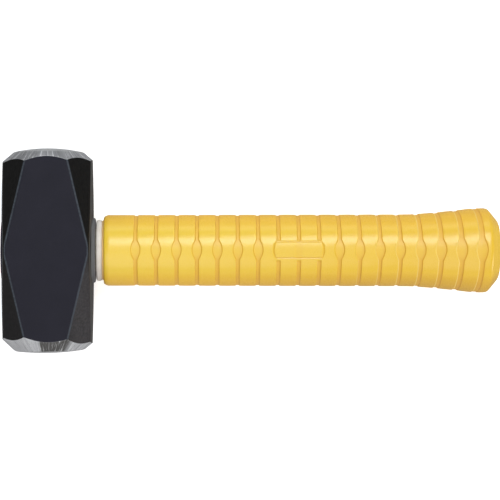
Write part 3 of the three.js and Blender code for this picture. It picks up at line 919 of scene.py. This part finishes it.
def grip_plastic():
    """Yellow moulded elastomer with painted shade: deeper colour in the grooves, on dark walls, on the flanks,
    most on the lower one, and towards the butt; pale walls carry a painted highlight.
    """
    g = Graph("grip_plastic")
    place = g.coordinates()
    recess, wall_shade_and_highlight = g.attribute("recess"), g.attribute("wall_shade_and_highlight")
    x, y, z = g.split(place)
    cloud = g.noise(place, 0.05, 3.0, 0.5)
    mottle = g.noise(place, 0.55, 4.0, 0.6)
    fine = g.noise(place, 3.2, 3.0, 0.6)
    colour = g.blend(g.spread(cloud, 0.3, 0.7), (0.790, 0.525, 0.040), (0.800, 0.545, 0.048))
    # painted shade: the colour deepens to a darker orange towards the butt, where less light falls
    towards_butt = g.spread(x, GRIP_LOW[0] + 20, FLARE_START_X + 10)
    colour = g.blend(towards_butt, colour, (0.775, 0.480, 0.032))
    colour = g.blend(g.spread(mottle, 0.4, 0.75, 0.0, 0.35), colour, (0.785, 0.490, 0.036))
    height = g.maths("ABSOLUTE", g.maths("SUBTRACT", z, AXIS_Z))
    breadth = g.maths("MAXIMUM", g.maths("ABSOLUTE", y), 0.1)
    # painted shade: the flanks, turned away from the top, are painted a deeper orange
    flank = g.spread(g.maths("DIVIDE", height, breadth), 1.3, 0.22)
    colour = g.blend(g.maths("MULTIPLY", flank, 0.8), colour, (0.830, 0.455, 0.034))
    # painted shade: the flanks darken further, most on the lower side and more towards the butt
    painted_shade_flank = g.maths("MULTIPLY", flank, g.spread(y, 6.0, -12.0, 0.22, 0.68))
    painted_shade_flank = g.maths("MULTIPLY", painted_shade_flank, g.spread(x, 45, 200, 0.0, 1.0))
    colour = g.blend(painted_shade_flank, colour, (0.560, 0.315, 0.034))
    # painted shade: a deeper, darker colour down in the grooves
    colour = g.blend(g.maths("MULTIPLY", recess, 0.55), colour, (0.700, 0.360, 0.028))
    # painted shade on dark groove walls, and a painted highlight on pale ones
    colour = g.blend(g.spread(wall_shade_and_highlight, 0.0, 1.0, 0.0, 0.6), colour, (0.620, 0.280, 0.020))
    colour = g.blend(g.spread(wall_shade_and_highlight, 0.0, -0.5, 0.0, 0.7), colour, (0.900, 0.720, 0.230))
    rough = g.spread(fine, 0.3, 0.7, 0.25, 0.33)
    rough = g.maths("ADD", rough, g.maths("MULTIPLY", recess, 0.16))
    bumped = g.bump(fine, 0.10, 0.05)
    bumped = g.bump(mottle, 0.10, 0.12, bumped)
    g.put(Metallic=0.0, IOR=1.5, Specular_IOR_Level=0.6)
    return g.to_shader(Base_Color=colour, Roughness=rough, Normal=bumped)


def soft_white():
    """Off-white soft plastic, a little soiled."""
    g = Graph("soft_white")
    place = g.coordinates()
    cloud = g.noise(place, 0.25, 3.0, 0.6)
    fine = g.noise(place, 2.4, 3.0, 0.6)
    colour = g.blend(g.spread(cloud, 0.3, 0.7), (0.66, 0.585, 0.52), (0.75, 0.69, 0.635))
    rough = g.spread(fine, 0.3, 0.7, 0.42, 0.58)
    g.put(Metallic=0.0, IOR=1.48)
    return g.to_shader(Base_Color=colour, Roughness=rough, Normal=g.bump(fine, 0.15, 0.08))


def jacket_plastic():
    """Dull orange-brown plastic, painted paler than its own colour as painted light, for the shaded gap where
    it shows.
    """
    g = Graph("jacket_plastic")
    fine = g.noise(g.coordinates(), 2.0, 3.0, 0.6)
    # painted light: the colour is lifted to a pale tan so the shaded gap between ring and grip reads lighter
    colour = g.blend(g.spread(fine, 0.3, 0.7), (0.84, 0.52, 0.17), (0.90, 0.60, 0.24))
    g.put(Metallic=0.0)
    rough = g.spread(fine, 0.3, 0.7, 0.5, 0.65)
    return g.to_shader(Base_Color=colour, Roughness=rough, Normal=g.bump(fine, 0.1, 0.05))


def fibreglass():
    """Sawn end of a pultruded rod: fibre ends as fine speckle, with faint saw lines across."""
    g = Graph("fibreglass")
    speckle = g.noise(g.coordinates((0.05, 1.0, 1.0)), 3.4, 4.0, 0.7)
    saw = g.noise(g.coordinates((0.4, 0.15, 1.6)), 2.0, 3.0, 0.6)
    tint = g.noise(g.coordinates(), 0.12, 2.0, 0.5)
    colour = g.blend(g.spread(speckle, 0.35, 0.68), (0.44, 0.39, 0.22), (0.80, 0.76, 0.58))
    colour = g.blend(g.spread(tint, 0.35, 0.7, 0.0, 0.5), colour, (0.60, 0.50, 0.26))
    bumped = g.bump(saw, 0.35, 0.12)
    g.put(Metallic=0.0, IOR=1.52)
    return g.to_shader(Base_Color=colour, Roughness=g.spread(speckle, 0.3, 0.7, 0.38, 0.6), Normal=bumped)


def resin_material():
    """Glossy brown epoxy."""
    g = Graph("resin")
    cloud = g.noise(g.coordinates(), 0.35, 3.0, 0.6)
    fine = g.noise(g.coordinates(), 1.4, 3.0, 0.5)
    colour = g.blend(g.spread(cloud, 0.3, 0.7), (0.20, 0.115, 0.035), (0.34, 0.215, 0.080))
    g.put(Metallic=0.0, IOR=1.54)
    rough = g.spread(fine, 0.3, 0.7, 0.12, 0.26)
    return g.to_shader(Base_Color=colour, Roughness=rough, Normal=g.bump(fine, 0.15, 0.2))


def hidden_plastic(name, colour):
    """Plain mottled plastic for the pieces that stay inside."""
    g = Graph(name)
    fine = g.noise(g.coordinates(), 1.5, 3.0, 0.6)
    mixed = g.blend(g.spread(fine, 0.3, 0.7), tuple(0.9 * c for c in colour), colour)
    g.put(Metallic=0.0)
    return g.to_shader(Base_Color=mixed, Roughness=g.spread(fine, 0.3, 0.7, 0.45, 0.6))


def dress_hidden_nodes():
    """The pieces that stay inside the hammer keep their CAD shape and get a material."""
    for node, colour in (("eye_sleeve", (0.7, 0.65, 0.6)), ("end_plug", (0.80, 0.50, 0.19))):
        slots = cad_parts[node].data.materials
        slots.clear()
        slots.append(hidden_plastic(node + "_plastic", colour))


# ---- stage ----
def make_floor():
    """A pale floor just under the hammer. It also glows, so that it stays nearly white all over."""
    bpy.ops.mesh.primitive_plane_add(size=60, location=(0, 0, -0.0002))
    floor = bpy.context.object
    floor.name = "floor"
    g = Graph("pale_floor")
    cloud = g.noise(g.coordinates(), 0.004, 2.0, 0.5)
    colour = g.blend(g.spread(cloud, 0.3, 0.7), (0.80, 0.80, 0.80), (0.83, 0.83, 0.83))
    g.put(Roughness=0.9, Specular_IOR_Level=0.1, Emission_Color=(1, 1, 1, 1), Emission_Strength=0.64)
    floor.data.materials.append(g.to_shader(Base_Color=colour))
    floor.visible_glossy = False


def area_light(name, place, target, size, energy, roll=0.0, colour=(1, 1, 1)):
    """A rectangular softbox that faces its target, turned about its own axis by roll degrees."""
    data = bpy.data.lights.new(name, "AREA")
    data.shape = "RECTANGLE"
    data.size, data.size_y = size
    data.energy = energy
    data.color = colour
    light = bpy.data.objects.new(name, data)
    bpy.context.scene.collection.objects.link(light)
    light.location = place
    light.rotation_mode = "QUATERNION"
    facing = (Vector(target) - Vector(place)).to_track_quat("-Z", "Y")
    light.rotation_quaternion = facing @ Matrix.Rotation(math.radians(roll), 3, "Z").to_quaternion()
    light.visible_camera = False


def make_lights():
    """Six softboxes round the middle of the hammer, in a dim white world."""
    middle = (0.1, 0, AXIS_Z * MILLIMETRE)
    cool = (0.91, 0.99, 1.0)
    area_light("key_softbox", (0.30, 0.86, 1.5), middle, (1.1, 0.62), 15, roll=35, colour=cool)
    area_light("fill_softbox", (-0.3, -0.95, 1.5), middle, (1.8, 1.2), 11.5)
    area_light("overhead_softbox", (0.1, 0.0, 2.2), middle, (1.5, 1.5), 8.5)
    area_light("butt_softbox", (1.5, -0.6, 0.45), middle, (0.7, 0.5), 5.5)
    area_light("lower_end_softbox", (0.1, -1.5, 0.5), middle, (1.5, 0.5), 1.5)
    area_light("upper_end_softbox", (0.1, 1.5, 0.5), middle, (1.5, 0.5), 4)
    world = bpy.data.worlds.new("studio")
    world.use_nodes = True
    background = world.node_tree.nodes["Background"]
    background.inputs["Color"].default_value = (0.97, 0.98, 1.0, 1)
    background.inputs["Strength"].default_value = 0.25
    bpy.context.scene.world = world


def make_camera():
    """A metre above the handle axis and near the head, leaning to bring the whole hammer into view."""
    distance = 1.0
    axis_z = AXIS_Z * MILLIMETRE
    foot_x, foot_y = 0.0478, 0.00018
    aim = Vector((0.10843, foot_y, axis_z))
    data = bpy.data.cameras.new("camera")
    data.sensor_width = 36
    data.lens = 133.9
    data.clip_start, data.clip_end = 0.05, 50
    camera = bpy.data.objects.new("camera", data)
    bpy.context.scene.collection.objects.link(camera)
    camera.location = (foot_x, foot_y, axis_z + distance)
    back = (camera.location - aim).normalized()
    across = Vector((0, 1, 0)).cross(back).normalized()
    camera.rotation_mode = "QUATERNION"
    camera.rotation_quaternion = Matrix((across, back.cross(across), back)).transposed().to_quaternion()
    bpy.context.scene.camera = camera


def main():
    bpy.context.scene.view_settings.view_transform = "Standard"
    make_camera()
    make_lights()
    make_floor()
    make_head()
    make_grip()
    make_seal_ring()
    make_jacket()
    make_rod()
    make_resin()
    dress_hidden_nodes()


main()
